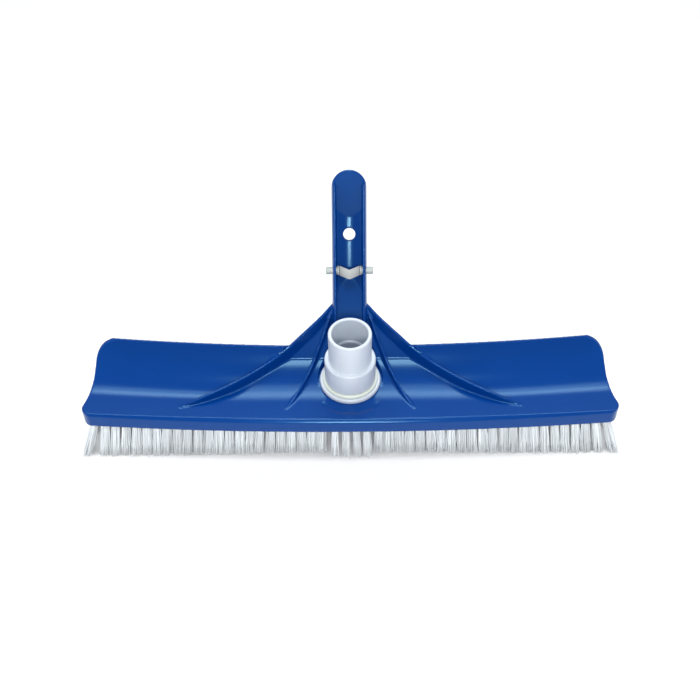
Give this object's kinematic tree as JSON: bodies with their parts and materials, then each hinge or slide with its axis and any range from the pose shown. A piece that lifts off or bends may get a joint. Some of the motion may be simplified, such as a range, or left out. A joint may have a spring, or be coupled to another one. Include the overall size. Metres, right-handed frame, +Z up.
{
  "type": "pool wall brush",
  "caption": "Wide pool wall brush with straight rows of nylon bristles, a snap-in pole handle and a stepped hose connector that swivels in the middle of a curved wing body",
  "frame": {"origin": "centre of the bounding box on the plane of the bristle tips", "axes": "+X along the brush to the right seen from the lip, +Y from the lip towards the pole handle, +Z up from the tips to the handle"},
  "size_m": [0.4174, 0.1402, 0.1867],
  "materials": {
    "body_blue": "satin injection-moulded ABS, deep royal blue, faint orange-peel texture",
    "block_blue": "moulded plastic of the tufted block, slightly darker blue",
    "bristle_nylon": "straight semi-translucent white nylon filaments in tufts",
    "hose_white": "smooth bluish-white moulded plastic",
    "ring_cream": "creamy low-friction plastic",
    "clip_plastic": "satin beige-grey springy plastic strip",
    "button_plastic": "smooth off-white acetal",
    "seal_rubber": "matt black moulded seal",
    "screw_steel": "bright stainless steel"
  },
  "bodies": {
    "root": {"body_shell": "body_blue", "bristle_block": "block_blue", "block_screw_middle": "screw_steel", "block_screw_left": "screw_steel", "block_screw_right": "screw_steel", "block_screw_left_end": "screw_steel", "block_screw_right_end": "screw_steel", "bristle_row_1_left": "bristle_nylon", "bristle_row_2_left": "bristle_nylon", "bristle_row_3_left_inner": "bristle_nylon", "bristle_row_3_left_outer": "bristle_nylon", "bristle_row_4_left": "bristle_nylon", "bristle_row_5_left": "bristle_nylon", "bristle_row_1_right": "bristle_nylon", "bristle_row_2_right": "bristle_nylon", "bristle_row_3_right_inner": "bristle_nylon", "bristle_row_3_right_outer": "bristle_nylon", "bristle_row_4_right": "bristle_nylon", "bristle_row_5_right": "bristle_nylon", "bristle_row_1_centre": "bristle_nylon", "socket_flange": "hose_white", "bearing_ring": "ring_cream", "clip_spring": "clip_plastic"},
    "cuff": {"swivel_cuff": "hose_white", "cuff_o_ring": "seal_rubber"},
    "left_pin": {"left_button": "button_plastic"},
    "right_pin": {"right_button": "button_plastic"}
  },
  "joints": [
    {"name": "cuff_swivel", "type": "hinge", "parent": "root", "child": "cuff", "pos_m": [0, -0.02882, 0.0512], "axis": [0, -0.1305, 0.9914], "continuous": true},
    {"name": "left_button_press", "type": "slide", "parent": "root", "child": "left_pin", "axis": [1, 0, 0], "range_m": [0, 0.0045], "stiffness_N_per_m": 600, "springref_m": -0.001, "deforming": ["clip_spring"]},
    {"name": "right_button_press", "type": "slide", "parent": "root", "child": "right_pin", "axis": [-1, 0, 0], "range_m": [0, 0.0045], "stiffness_N_per_m": 600, "springref_m": -0.001, "deforming": ["clip_spring"]}
  ]
}
